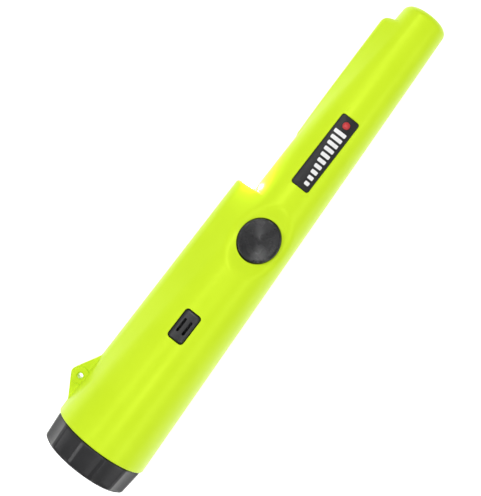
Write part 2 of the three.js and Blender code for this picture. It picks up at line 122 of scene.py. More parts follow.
# Two-start thread on the collar's neck, drawn with a slower climb than its lead so that both
# ridges end before the seal's groove
THREAD_LEAD = 6
THREAD_CLIMB = 0.8
THREAD_STARTS = 2
THREAD_HEIGHT = 0.8

# Trim let into the front shell
TRIM_GAP = 0.2
PLATE_DEPTH = 1.5
GRILLE_CORNER = 1.6
SLOT_LENGTH = 6.6
SLOT_WIDTH = 1.2
SLOT_OFFSET = 1.45

# Lamp, lit
LAMP_RADIUS = 2.5
LAMP_STRENGTH = 18

# Screws and the posts that they stand in
SCREW_COUNT = 4
POST_RADIUS = 3.2
SCREW_HOLE = 1.3
HEAD_SEAT = 2.45
HEAD_SEAT_DEPTH = 2.0


def span(node):
    """A CAD node's lowest and highest corners in millimetres."""
    low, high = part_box(node)
    return low / MM, high / MM


def middle(node):
    low, high = span(node)
    return (low + high) / 2


BODY_REAR_X = span("front_shell")[0].x
LENGTH = round(span("front_shell")[1].x, 1)
BUTTON_LOW, BUTTON_HIGH = span("power_button")
BUTTON = middle("power_button")
GRILLE = middle("speaker_grille")
PLATE = middle("name_plate")
LAMP = middle("led_lamp")


# ---------------------------------------------------------------- skin formula


def smooth_max(a, b, width):
    return (a + b + np.sqrt((a - b) ** 2 + width**2)) / 2


def smooth_min(a, b, width):
    return (a + b - np.sqrt((a - b) ** 2 + width**2)) / 2


def cone_radius(x):
    return REAR_RADIUS - TAPER * (x - BODY_REAR_X)


def crested_radius(base, top, crest, angle):
    """A base circle and a smaller crest circle that reaches top, joined by tangent lines."""
    centre = top - crest
    tangent = np.arccos(np.minimum(1, (base - crest) / centre))
    crest_end = np.arctan2(crest * np.sin(tangent), centre + crest * np.cos(tangent))
    turn = np.abs(angle)
    line = base / np.maximum(np.cos(tangent - turn), 0.2)
    under = np.maximum(crest**2 - (centre * np.sin(turn)) ** 2, 0)
    cap = centre * np.cos(turn) + np.sqrt(under)
    return np.where(turn >= tangent, base, np.where(turn >= crest_end, line, cap))


def handle_radius(x, angle):
    """The cone with the grip ridge along its top."""
    along = np.clip((x - BODY_REAR_X) / (STEP_X - BODY_REAR_X), 0, 1)
    crest = CREST_REAR + (CREST_FRONT - CREST_REAR) * along
    return crested_radius(cone_radius(x), RIDGE_TOP, crest, angle)


def front_radius(x, angle):
    """The cone with a level shelf in front of the lamp."""
    shelf = SHELF_TOP / np.maximum(np.cos(angle), 0.05)
    return smooth_min(cone_radius(x), shelf, 0.5)


def step_share(x):
    """1 behind the step, 0 in front of it, with a rounded top edge."""
    drop = RIDGE_TOP - SHELF_TOP
    into = np.clip((x - (STEP_X - STEP_ROUND)) / STEP_ROUND, 0, 1)
    rounded = 1 - (STEP_ROUND - np.sqrt(np.maximum(1 - into**2, 0)) * STEP_ROUND) / drop
    down = np.clip((x - STEP_X) / STEP_FOOT, 0, 1)
    foot = down * (2 - down)
    return rounded * (1 - foot)


def rib_radius(top, half_width, angle, rounding):
    """A rib with a flat top at height top and sides at plus and minus half_width."""
    side = half_width / np.maximum(np.abs(np.sin(angle)), 1e-4)
    flat = top / np.maximum(np.cos(angle), 0.05)
    rib = smooth_min(side, flat, rounding)
    return np.where(np.cos(angle) > 0.1, rib, 0)


def lug_top(x):
    rise = LUG_PEAK_Y + (x - LUG_PEAK_X) * LUG_REAR_SLOPE
    fall = LUG_PEAK_Y - (x - LUG_PEAK_X) * LUG_FRONT_SLOPE
    return smooth_min(rise, fall, 1.1)


def blade_radius(x, angle):
    """The blade's crest and flanks; nothing where it sinks into the tube."""
    along = np.clip((x - BLADE_REAR_X) / (BLADE_FRONT_X - BLADE_REAR_X), 0, 1)
    nose = np.clip((x - (BLADE_FRONT_X - BLADE_NOSE)) / BLADE_NOSE, 0, 1)
    top = BLADE_TOP_REAR + (BLADE_TOP_FRONT - BLADE_TOP_REAR) * np.sqrt(along)
    top = top - BLADE_NOSE * (1 - np.sqrt(1 - 0.95 * nose**2))
    base = cone_radius(x)
    radius = crested_radius(base, top, BLADE_CREST, angle)
    is_blade = (x > BLADE_REAR_X) & (x <= BLADE_FRONT_X) & (radius > base + 0.001)
    return np.where(is_blade, radius, 0)


def scoop_depth(x, across):
    reach = np.hypot((x - BUTTON.x) / SCOOP_HALF_X, (across - BUTTON.y) / SCOOP_HALF_Y)
    depth = SCOOP_DEPTH * (0.5 + 0.5 * np.cos(math.pi * np.minimum(reach, 1) ** 2))
    return np.where(reach < 1, depth, 0)


def bare_radius(x, angle):
    """Skin without the lug and blade, for the cavity."""
    share = step_share(x)
    radius = share * handle_radius(x, angle) + (1 - share) * front_radius(x, angle)
    scoop = scoop_depth(x, radius * np.cos(angle))
    return radius - np.where(np.sin(angle) > 0, scoop, 0)


def skin_radius(x, angle):
    radius = bare_radius(x, angle)
    lug = rib_radius(lug_top(x), LUG_HALF, angle, 0.35)
    is_lug = np.abs(x - LUG_PEAK_X) < 18
    radius = np.where(is_lug, smooth_max(radius, lug, 0.45), radius)
    radius = np.maximum(radius, blade_radius(x, angle))
    into = np.clip((x - BODY_REAR_X) / REAR_EDGE, 0, 1)
    return radius - REAR_EDGE * (1 - np.sqrt(1 - (1 - into) ** 2))


def cavity_radius(x, angle):
    near = [bare_radius(place, angle) for place in (x - WALL, x, x + WALL)]
    return np.minimum.reduce(near) - WALL


def front_height(x, across):
    """Height of the front shell's skin above the seam plane, away from the ridge."""
    return np.sqrt(np.maximum(cone_radius(x) ** 2 - across**2, 0))


# ---------------------------------------------------------------- mesh helpers


def add_mesh(name, points, faces, smooth=35):
    """An object from points in millimetres; edges sharper than smooth degrees stay crisp."""
    mesh = bpy.data.meshes.new(name)
    mesh.from_pydata((np.asarray(points, float) * MM).tolist(), [], faces)
    mesh.validate()
    obj = bpy.data.objects.new(name, mesh)
    bpy.context.scene.collection.objects.link(obj)
    crisp(obj, smooth)
    return obj


def crisp(obj, smooth=35):
    obj.data.shade_smooth()
    obj.data.set_sharp_from_angle(angle=math.radians(smooth))


def rings_mesh(name, rings, start, end, smooth=35):
    """A closed skin through rings of points, with a centre point at each end."""
    count = len(rings[0])
    points = [start, *np.concatenate(rings), end]
    faces = []
    for j in range(count):
        k = (j + 1) % count
        faces.append((0, 1 + k, 1 + j))
    for i in range(len(rings) - 1):
        low = 1 + i * count
        for j in range(count):
            k = (j + 1) % count
            faces.append((low + j, low + k, low + count + k, low + count + j))
    last = 1 + (len(rings) - 1) * count
    for j in range(count):
        k = (j + 1) % count
        faces.append((last + j, last + k, len(points) - 1))
    obj = add_mesh(name, points, faces, smooth)
    face_out(obj)
    return obj


def face_out(obj):
    """Turns a closed mesh's faces outwards."""
    mesh = obj.data
    mesh.calc_loop_triangles()
    co = np.array([v.co for v in mesh.vertices])
    corner = np.array([t.vertices for t in mesh.loop_triangles])
    a, b, c = co[corner[:, 0]], co[corner[:, 1]], co[corner[:, 2]]
    if np.einsum("ij,ij->i", a, np.cross(b, c)).sum() < 0:
        mesh.flip_normals()


def loft(name, stations, angles, radius_at, end_x, smooth=35):
    """A skin round the X axis through stations of [x, share of the radius, drop]."""
    rings = []
    for x, share, drop in stations:
        radius = radius_at(np.full(len(angles), x), angles) * share - drop
        rings.append(np.stack([np.full(len(angles), x), radius * np.cos(angles),
                               radius * np.sin(angles)], 1))
    return rings_mesh(name, rings, (stations[0][0], 0, 0), (end_x, 0, 0), smooth)


def turned(name, profile, sides=64, axis="X", centre=(0, 0, 0), stretch=1, smooth=35):
    """Pairs of [along, radius] turned about an axis; a ring profile closes on itself."""
    closed = profile[0] == profile[-1]
    profile = profile[:-1] if closed else profile
    turn = np.arange(sides) * TURN / sides
    points, faces = [], []
    for along, radius in profile:
        ring = np.stack([np.full(sides, along), radius * np.cos(turn), radius * np.sin(turn)], 1)
        points.append(ring)
    count = len(profile)
    for i in range(count if closed else count - 1):
        n = (i + 1) % count
        for j in range(sides):
            k = (j + 1) % sides
            faces.append((i * sides + j, i * sides + k, n * sides + k, n * sides + j))
    if not closed:
        faces.append(tuple(reversed(range(sides))))
        faces.append(tuple((count - 1) * sides + j for j in range(sides)))
    points = np.concatenate(points)
    if axis == "Z":
        points = np.stack([points[:, 1] * stretch, points[:, 2], points[:, 0]], 1)
    obj = add_mesh(name, points + np.array(centre), faces, smooth)
    weld(obj)
    face_out(obj)
    return obj


def weld(obj):
    """Joins points that fall together, such as a lathe's end on its axis."""
    work = bmesh.new()
    work.from_mesh(obj.data)
    bmesh.ops.remove_doubles(work, verts=work.verts, dist=1e-7)
    bmesh.ops.dissolve_degenerate(work, edges=work.edges, dist=1e-8)
    work.to_mesh(obj.data)
    work.free()


def rounded_outline(length, width, corner, per_corner=8):
    """Points of a rectangle with round corners, about the origin."""
    half_x, half_y = length / 2 - corner, width / 2 - corner
    points = []
    for i, (sx, sy) in enumerate(((1, 1), (-1, 1), (-1, -1), (1, -1))):
        for j in range(per_corner + 1):
            turn = (i + j / per_corner) * math.pi / 2
            x = sx * half_x + corner * math.cos(turn)
            points.append((x, sy * half_y + corner * math.sin(turn)))
    return np.array(points)


def prism(name, outline, z0, z1):
    """An upright prism on an outline of [x, y] points."""
    count = len(outline)
    low = np.column_stack([outline, np.full(count, z0)])
    high = np.column_stack([outline, np.full(count, z1)])
    faces = [(j, (j + 1) % count, count + (j + 1) % count, count + j) for j in range(count)]
    faces.append(tuple(reversed(range(count))))
    faces.append(tuple(range(count, 2 * count)))
    obj = add_mesh(name, np.concatenate([low, high]), faces)
    face_out(obj)
    return obj


def block(name, low, high):
    outline = np.array([(low[0], low[1]), (high[0], low[1]), (high[0], high[1]),
                        (low[0], high[1])])
    return prism(name, outline, low[2], high[2])


def oval(grow, count=96):
    turn = np.arange(count) * TURN / count
    half_x = (BUTTON_HIGH.x - BUTTON_LOW.x) / 2 + grow
    half_y = (BUTTON_HIGH.y - BUTTON_LOW.y) / 2 + grow
    return np.stack([BUTTON.x + half_x * np.cos(turn), BUTTON.y + half_y * np.sin(turn)], 1)


def upright_round(name, x, y, z0, z1, radius, sides=48):
    return turned(name, [[z0, radius], [z1, radius]], sides, "Z", (x, y, 0))


def joined(obj, tool, how, keep_tool=False):
    """Cuts, adds or intersects obj with tool, and removes the tool."""
    change = obj.modifiers.new("join", "BOOLEAN")
    change.operation = how
    change.object = tool
    change.solver = "MANIFOLD"
    graph = bpy.context.evaluated_depsgraph_get()
    made = bpy.data.meshes.new_from_object(obj.evaluated_get(graph))
    old = obj.data
    obj.modifiers.clear()
    obj.data = made
    bpy.data.meshes.remove(old)
    if not keep_tool:
        discard(tool)
    return obj


def cut(obj, tool):
    joined(obj, tool, "DIFFERENCE")


def discard(obj):
    mesh = obj.data
    bpy.data.objects.remove(obj)
    bpy.data.meshes.remove(mesh)


def copy_of(obj, name):
    twin = bpy.data.objects.new(name, obj.data.copy())
    bpy.context.scene.collection.objects.link(twin)
    return twin


def merge_objects(name, parts):
    """One object that holds several closed solids."""
    points, faces = [], []
    for part in parts:
        start = len(points)
        points += [tuple(v.co / MM) for v in part.data.vertices]
        faces += [tuple(start + v for v in p.vertices) for p in part.data.polygons]
    for part in parts:
        discard(part)
    return add_mesh(name, points, faces)


# ---------------------------------------------------------------- materials


def new_material(name, color, roughness, metallic=0.0):
    """A Principled material and its tree's nodes; pattern functions add to it."""
    made = bpy.data.materials.new(name)
    made.use_nodes = True
    shader = made.node_tree.nodes["Principled BSDF"]
    shader.inputs["Base Color"].default_value = (*color, 1)
    shader.inputs["Roughness"].default_value = roughness
    shader.inputs["Metallic"].default_value = metallic
    return made, made.node_tree, shader


def set_input(made, name, value):
    """Sets one plain value of a material's shader."""
    made.node_tree.nodes["Principled BSDF"].inputs[name].default_value = value
    return made


def object_noise(tree, scale, detail=2.0):
    place = tree.nodes.new("ShaderNodeTexCoord")
    noise = tree.nodes.new("ShaderNodeTexNoise")
    noise.inputs["Scale"].default_value = scale
    noise.inputs["Detail"].default_value = detail
    tree.links.new(place.outputs["Object"], noise.inputs["Vector"])
    return noise


def ramp_between(tree, source, low, high, start=0.35, end=0.65):
    """A colour ramp from low to high over the source's values."""
    ramp = tree.nodes.new("ShaderNodeValToRGB")
    ramp.color_ramp.elements[0].position = start
    ramp.color_ramp.elements[1].position = end
    ramp.color_ramp.elements[0].color = (*low, 1)
    ramp.color_ramp.elements[1].color = (*high, 1)
    tree.links.new(source, ramp.inputs["Fac"])
    return ramp


def add_bump(tree, shader, height, strength, distance):
    bump = tree.nodes.new("ShaderNodeBump")
    bump.inputs["Strength"].default_value = strength
    bump.inputs["Distance"].default_value = distance
    tree.links.new(height, bump.inputs["Height"])
    tree.links.new(bump.outputs["Normal"], shader.inputs["Normal"])


def plastic(name, low, high, roughness, grain_scale, grain_depth):
    """Moulded plastic: faint colour drift, a fine grain and a slightly uneven gloss."""
    made, tree, shader = new_material(name, low, roughness)
    drift = object_noise(tree, 45, 3)
    ramp = ramp_between(tree, drift.outputs["Fac"], low, high)
    tree.links.new(ramp.outputs["Color"], shader.inputs["Base Color"])
    gloss = object_noise(tree, grain_scale / 6, 4)
    spread = ramp_between(tree, gloss.outputs["Fac"], (roughness - 0.01,) * 3,
                          (roughness + 0.02,) * 3)
    tree.links.new(spread.outputs["Color"], shader.inputs["Roughness"])
    grain = object_noise(tree, grain_scale, 2)
    add_bump(tree, shader, grain.outputs["Fac"], 0.25, grain_depth)
    return made


def neon_plastic():
    made = plastic("neon_plastic", (0.6, 0.83, 0.022), (0.62, 0.85, 0.026), 0.3, 1600, 2e-5)
    set_input(made, "Specular IOR Level", 0.55)
    return set_input(made, "Specular Tint", (0.8, 1.0, 0.12, 1))


def black_plastic():
    made = plastic("black_plastic", (0.008, 0.008, 0.009), (0.024, 0.024, 0.026), 0.34, 2000, 9e-5)
    return set_input(made, "Specular IOR Level", 0.42)


def button_plastic():
    """Black plastic with fine turned rings."""
    made, tree, shader = new_material("button_plastic", (0.02, 0.02, 0.022), 0.2)
    place = tree.nodes.new("ShaderNodeTexCoord")
    shift = tree.nodes.new("ShaderNodeMapping")
    shift.inputs["Location"].default_value = (-BUTTON.x * MM, -BUTTON.y * MM, 0)
    tree.links.new(place.outputs["Object"], shift.inputs["Vector"])
    rings = tree.nodes.new("ShaderNodeTexWave")
    rings.wave_type = "RINGS"
    rings.rings_direction = "Z"
    rings.inputs["Scale"].default_value = 900
    rings.inputs["Distortion"].default_value = 0.4
    tree.links.new(shift.outputs["Vector"], rings.inputs["Vector"])
    add_bump(tree, shader, rings.outputs["Fac"], 0.35, 3e-5)
    drift = object_noise(tree, 300, 3)
    ramp = ramp_between(tree, drift.outputs["Fac"], (0.008, 0.008, 0.009), (0.014, 0.014, 0.015))
    tree.links.new(ramp.outputs["Color"], shader.inputs["Base Color"])
    around = tree.nodes.new("ShaderNodeTangent")
    around.direction_type = "RADIAL"
    around.axis = "Z"
    tree.links.new(around.outputs["Tangent"], shader.inputs["Tangent"])
    shader.inputs["Anisotropic"].default_value = 0.9
    shader.inputs["Specular IOR Level"].default_value = 0.42
    return made


def rubber():
    return plastic("black_rubber", (0.012, 0.012, 0.013), (0.022, 0.022, 0.023), 0.7, 1800, 8e-5)


def plate_plastic():
    made = plastic("plate_plastic", (0.012, 0.012, 0.013), (0.018, 0.018, 0.019), 0.45, 3000, 1e-5)
    return set_input(made, "Specular IOR Level", 0.3)


def tinted(name, low, high, roughness):
    """Smooth coloured plastic with an almost invisible grain."""
    return plastic(name, low, high, roughness, 900, 1e-5)


def print_ink(name, low, high):
    return plastic(name, low, high, 0.45, 2500, 2e-5)


def metal(name, low, high, roughness, stretch):
    """Metal with fine brushed lines; stretch packs the pattern closer across X."""
    made, tree, shader = new_material(name, low, roughness, 1.0)
    place = tree.nodes.new("ShaderNodeTexCoord")
    scale = tree.nodes.new("ShaderNodeMapping")
    scale.inputs["Scale"].default_value = (1, stretch, stretch)
    tree.links.new(place.outputs["Object"], scale.inputs["Vector"])
    noise = tree.nodes.new("ShaderNodeTexNoise")
    noise.inputs["Scale"].default_value = 400
    tree.links.new(scale.outputs["Vector"], noise.inputs["Vector"])
    ramp = ramp_between(tree, noise.outputs["Fac"], low, high)
    tree.links.new(ramp.outputs["Color"], shader.inputs["Base Color"])
    add_bump(tree, shader, noise.outputs["Fac"], 0.2, 2e-5)
    return made


def circuit_board():
    """Green solder mask with the paler lines of its copper tracks."""
    made, tree, shader = new_material("circuit_board", (0.01, 0.13, 0.04), 0.4)
    place = tree.nodes.new("ShaderNodeTexCoord")
    tracks = tree.nodes.new("ShaderNodeTexBrick")
    tracks.inputs["Scale"].default_value = 260
    tracks.inputs["Color1"].default_value = (0.008, 0.12, 0.035, 1)
    tracks.inputs["Color2"].default_value = (0.01, 0.14, 0.045, 1)
    tracks.inputs["Mortar"].default_value = (0.03, 0.26, 0.1, 1)
    tracks.inputs["Mortar Size"].default_value = 0.03
    tree.links.new(place.outputs["Object"], tracks.inputs["Vector"])
    tree.links.new(tracks.outputs["Color"], shader.inputs["Base Color"])
    return made


def wound_copper():
    """Enamelled wire in fine turns round the X axis."""
    made, tree, shader = new_material("copper_wire", (0.42, 0.12, 0.035), 0.3, 1.0)
    place = tree.nodes.new("ShaderNodeTexCoord")
    turns = tree.nodes.new("ShaderNodeTexWave")
    turns.bands_direction = "X"
    turns.inputs["Scale"].default_value = 1200
    tree.links.new(place.outputs["Object"], turns.inputs["Vector"])
    ramp = ramp_between(tree, turns.outputs["Fac"], (0.25, 0.06, 0.02), (0.5, 0.16, 0.05), 0.1, 0.9)
    tree.links.new(ramp.outputs["Color"], shader.inputs["Base Color"])
    add_bump(tree, shader, turns.outputs["Fac"], 0.5, 1e-4)
    return made


def lamp_plastic():
    """Clear lamp, lit, with a faint haze in its glow."""
    made, tree, shader = new_material("lamp_plastic", (0.95, 0.97, 1.0), 0.08)
    haze = object_noise(tree, 500, 1)
    glow = ramp_between(tree, haze.outputs["Fac"], (0.92, 0.96, 1.0), (1.0, 1.0, 1.0))
    tree.links.new(glow.outputs["Color"], shader.inputs["Emission Color"])
    shader.inputs["Emission Strength"].default_value = LAMP_STRENGTH
    return made


LOOKS = {
    "neon_plastic": neon_plastic(),
    "black_plastic": black_plastic(),
    "black_rubber": rubber(),
    "plate_plastic": plate_plastic(),
    "lamp_plastic": lamp_plastic(),
    "plated_steel": metal("plated_steel", (0.5, 0.51, 0.53), (0.62, 0.63, 0.65), 0.28, 12),
    "brass_weight": metal("brass_weight", (0.55, 0.4, 0.14), (0.66, 0.48, 0.18), 0.4, 4),
    "circuit_board": circuit_board(),
    "ferrite": plastic("ferrite", (0.03, 0.03, 0.034), (0.05, 0.05, 0.055), 0.6, 1400, 1e-4),
    "copper_wire": wound_copper(),
    "battery_jacket": tinted("battery_jacket", (0.02, 0.06, 0.28), (0.03, 0.08, 0.34), 0.32),
    "capacitor_sleeve": tinted("capacitor_sleeve", (0.012, 0.03, 0.12), (0.02, 0.04, 0.16), 0.35),
    "red_lead": tinted("red_lead", (0.42, 0.012, 0.01), (0.5, 0.02, 0.014), 0.45),
}


def finish_piece(obj, look, body="root", replaces=()):
    """Material and body of a finished piece; the frame nodes that it replaces are hidden."""
    obj.data.materials.clear()
    obj.data.materials.append(look)
    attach(obj, body)
    if replaces:
        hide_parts(*replaces)


# ---------------------------------------------------------------- housing


def skin_angles(count):
    """Angles round the axis, closest together at the lug and blade."""
    even = np.arange(count) * 2 / count - 1
    return math.pi * (0.25 * even + 0.75 * even**3)


def skin_stations():
    """Places along X, closest together where the outline turns."""
    spans = [
        (BODY_REAR_X, 12.8, 0.1), (12.8, 15.5, 0.5), (15.5, 47, 0.3), (47, 101, 2),
        (101, 134.6, 0.6), (134.6, 137.6, 0.08), (137.6, 160, 0.8), (160, 226, 1.5),
        (226, BLADE_FRONT_X - 0.3, 0.25), (BLADE_FRONT_X - 0.3, BLADE_FRONT_X + 0.3, 0.05),
        (BLADE_FRONT_X + 0.3, LENGTH - TIP_FILLET - TIP_DOME, 0.8),
    ]
    stations = []
    for start, end, step in spans:
        count = max(1, round((end - start) / step))
        stations += [[x, 1, 0] for x in np.linspace(start, end, count, endpoint=False)]
    start = LENGTH - TIP_FILLET - TIP_DOME
    for turn in np.radians(np.linspace(0, 82, 12)):
        x = start + TIP_FILLET * math.sin(turn)
        stations.append([x, 1, TIP_FILLET * (1 - math.cos(turn))])
    last_x, _, last_drop = stations[-1]
    edge = cone_radius(last_x) - last_drop
    for share in (0.85, 0.7, 0.55, 0.4, 0.25, 0.1):
        x = LENGTH - (LENGTH - last_x) * share**2
        stations.append([x, 0, -edge * share])
    return stations


def make_skin():
    return loft("skin", skin_stations(), skin_angles(300), skin_radius, LENGTH)


def make_cavity():
    places = [BODY_REAR_X - 4, 30, 60, 97, 104, 110, 116, 122, 128, 133.4, 134.6, 139, 165, 200,
              LENGTH - TIP_WALL - 2.5, LENGTH - TIP_WALL]
    angles = np.arange(56) * TURN / 56 - math.pi
    return loft("cavity", [[x, 1, 0] for x in places], angles, cavity_radius, LENGTH - TIP_WALL)


def lug_boss():
    """The raised ring round the lug's hole, with softened edges on both sides."""
    edge = 0.5
    half, radius = LUG_RING_HALF, LUG_RING_RADIUS
    profile = [[-half, radius - edge], [-half + edge * 0.3, radius - edge * 0.3],
               [-half + edge, radius], [half - edge, radius],
               [half - edge * 0.3, radius - edge * 0.3], [half, radius - edge]]
    return turned("lug_boss", profile, 48, "Z", (LUG_PEAK_X, LUG_HOLE_Y, 0))


def lug_hole():
    """A round hole with a countersunk edge on both sides."""
    edge = 0.5
    half, narrow = LUG_RING_HALF, LUG_HOLE_RADIUS
    wide = narrow + edge
    profile = [[-9, wide], [-half, wide], [-half + edge, narrow], [half - edge, narrow],
               [half, wide], [9, wide]]
    return turned("lug_hole", profile, 40, "Z", (LUG_PEAK_X, LUG_HOLE_Y, 0))


def plate_pocket():
    """A tool for the plate's recess, tilted with the front skin."""
    low, high = span("name_plate")
    length, width = high.x - low.x, high.y - low.y
    outline = rounded_outline(length + 2 * TRIM_GAP, width + 2 * TRIM_GAP, 1.2)
    tool = prism("plate_pocket", outline, -PLATE_DEPTH, 12)
    tilt = Matrix.Rotation(math.atan(TAPER), 4, "Y")
    place = Matrix.Translation(Vector((PLATE.x, PLATE.y, cone_radius(PLATE.x))) * MM)
    tool.data.transform(place @ tilt)
    return tool


def grille_hole():
    low, high = span("speaker_grille")
    length, width = high.x - low.x, high.y - low.y
    outline = rounded_outline(length + 2 * TRIM_GAP, width + 2 * TRIM_GAP, GRILLE_CORNER)
    return prism("grille_hole", outline + np.array([GRILLE.x, GRILLE.y]), 10, 30)


def add_screw_bosses(shell, skin, is_front):
    """Posts for the screws, trimmed to the skin, and their holes."""
    post_low, post_high = (SEAM_HALF, 20) if is_front else (-20, -SEAM_HALF)
    hole_low, hole_high = (-1, 6) if is_front else (-20, 1)
    for i in range(1, SCREW_COUNT + 1):
        screw = middle(f"shell_screw_{i}")
        post = upright_round("post", screw.x, screw.y, post_low, post_high, POST_RADIUS)
        joined(post, skin, "INTERSECT", keep_tool=True)
        joined(shell, post, "UNION")
        cut(shell, upright_round("hole", screw.x, screw.y, hole_low, hole_high, SCREW_HOLE, 24))
        if not is_front:
            seat = span(f"shell_screw_{i}")[0].z + HEAD_SEAT_DEPTH
            cut(shell, upright_round("seat", screw.x, screw.y, -25, seat, HEAD_SEAT, 36))


def lamp_bore():
    low, high = span("led_lamp")
    radius = (high.z - low.z) / 2 + 0.15
    return turned("bore", [[120, radius], [145, radius]], 48, "X", (0, LAMP.y, 0))


def make_shells():
    skin = make_skin()
    joined(skin, lug_boss(), "UNION")
    whole = copy_of(skin, "whole")
    cut(whole, make_cavity())
    cut(whole, lug_hole())
    cut(whole, lamp_bore())
    shells = []
    for name, low, high in (("front", SEAM_HALF, 40), ("back", -40, -SEAM_HALF)):
        half = block("half", (-10, -40, low), (260, 40, high))
        shell = copy_of(whole, f"{name}_shell_skin")
        joined(shell, half, "INTERSECT")
        add_screw_bosses(shell, skin, name == "front")
        shells.append(shell)
    cut(shells[0], prism("button_hole", oval(0.3), 4, 30))
    cut(shells[0], grille_hole())
    cut(shells[0], plate_pocket())
    discard(whole)
    discard(skin)
    for shell, node in zip(shells, ("front_shell", "back_shell")):
        crisp(shell, 32)
        finish_piece(shell, LOOKS["neon_plastic"], "root", [node])


# ---------------------------------------------------------------- cap, collar and seal


def make_cap():
    """A cap whose flutes are shallow bows between narrow lands."""
    high = span("battery_cap")[1]
    crest = high.y
    length = high.x
    narrowing = 0.9
    rear = crest - narrowing
    edge = 1.5

    def radius_at(x, angle):
        along = np.clip((x - edge) / (length - edge), 0, 1)
        round_ = rear + (crest - rear) * along
        into = np.clip(1 - x / edge, 0, 1)
        round_ = round_ - edge * (1 - np.sqrt(1 - into**2))
        lip = np.clip((x - (length - 0.4)) / 0.4, 0, 1)
        round_ = round_ - 0.3 * lip**2
        share = (angle * CAP_FLUTES / TURN + 0.5) % 1
        bow = np.clip(1 - ((2 * share - 1) / CAP_FLUTE_SHARE) ** 2, 0, 1)
        fade = np.clip(x / 0.6, 0, 1)
        return round_ - CAP_FLUTE_DEPTH * bow * fade

    places = [0, 0.1, 0.25, 0.45, 0.7, 1, 1.5, 2.5, 4.5, 6.5, 8.5, 10.4, 11.2, 11.35, 11.5, length]
    sides = CAP_FLUTES * 26
    angles = np.arange(sides) * TURN / sides
    cap = loft("screw_cap", [[x, 1, 0] for x in places], angles, radius_at, length, 30)
    cut(cap, turned("bore", [[CAP_FLOOR, CAP_BORE - 0.6], [CAP_FLOOR + 0.6, CAP_BORE],
                             [length - 0.4, CAP_BORE], [length + 1, CAP_BORE + 0.9]], 96))
    groove = [[-1, 15.2], [-1, 16.4], [0.45, 16.2], [0.45, 15.4], [-1, 15.2]]
    cut(cap, turned("groove", groove, 96))
    crisp(cap, 30)
    finish_piece(cap, LOOKS["black_plastic"], "cap", ["battery_cap"])


def thread_ridge(start_angle, radius):
    """One start of the neck's thread, fading out at both ends."""
    turns = 1.05
    steps = 110
    begin = span("threaded_collar")[0].x + 0.9
    rings = []
    for i in range(steps + 1):
        share = i / steps
        angle = start_angle + share * turns * TURN
        x = begin + share * turns * THREAD_LEAD * THREAD_CLIMB
        height = THREAD_HEIGHT * min(1, share * 12, (1 - share) * 12)
        out = np.array([0, math.cos(angle), math.sin(angle)])
        along = np.array([1, 0, 0])
        foot = out * (radius - 0.4)
        top = out * (radius + height)
        rings.append(np.array([foot - along * 0.75, top - along * 0.3, top + along * 0.3,
                               foot + along * 0.75]) + along * x)
    first = rings[0].mean(0)
    last = rings[-1].mean(0)
    return rings_mesh("thread", rings, first, last)


def make_collar():
    low, high = span("threaded_collar")
    bore, neck, seat, round_edge = 16.4, 18.2, 19, 0.4
    groove_x, groove_end, groove_floor = 9.3, 11.4, 17.2
    profile = [
        [low.x, bore], [low.x, neck - round_edge], [low.x + round_edge, neck], [groove_x, neck],
        [groove_x, groove_floor], [groove_end, groove_floor], [groove_end, neck],
        [BODY_REAR_X + 0.4, neck], [BODY_REAR_X + 0.4, seat], [high.x - 0.5, seat],
        [high.x, seat - 0.5], [high.x, bore], [low.x, bore],
    ]
    collar = turned("collar", profile, 96)
    for start in range(THREAD_STARTS):
        joined(collar, thread_ridge(start * TURN / THREAD_STARTS, neck), "UNION")
    crisp(collar, 32)
    finish_piece(collar, LOOKS["black_plastic"], "root", ["threaded_collar"])


def make_seal():
    low, high = span("cap_seal")
    section = (high.x - low.x) / 2
    ring_radius = high.y - section
    profile = []
    for i in range(17):
        turn = i * TURN / 16
        profile.append([middle("cap_seal").x + section * math.cos(turn),
                        ring_radius + section * math.sin(turn)])
    profile[-1] = profile[0]
    seal = turned("seal_ring", profile, 96)
    finish_piece(seal, LOOKS["black_rubber"], "root", ["cap_seal"])


# ---------------------------------------------------------------- button, grille, plate


def make_button():
    top = BUTTON_HIGH.z
    half_y = (BUTTON_HIGH.y - BUTTON_LOW.y) / 2
    stretch = (BUTTON_HIGH.x - BUTTON_LOW.x) / (BUTTON_HIGH.y - BUTTON_LOW.y)
    stem = 2.4
    profile = [[BUTTON_LOW.z, 0], [BUTTON_LOW.z, stem - 0.2], [BUTTON_LOW.z + 0.2, stem],
               [11, stem], [11, half_y - 0.4], [11.4, half_y]]
    edge = 0.7
    for turn in np.radians(np.linspace(0, 90, 7)):
        profile.append([top - edge + edge * math.sin(turn), half_y - edge + edge * math.cos(turn)])
    dish_depth = 0.75
    dish_radius = half_y - 1.1
    for share in np.linspace(1, 0, 18):
        bowl = dish_depth * (1 - share**1.4)
        profile.append([top - 0.02 - bowl, dish_radius * share])
    button = turned("button_top", profile, 128, "Z", (BUTTON.x, BUTTON.y, 0), stretch, 40)
    finish_piece(button, button_plastic(), "button", ["power_button"])


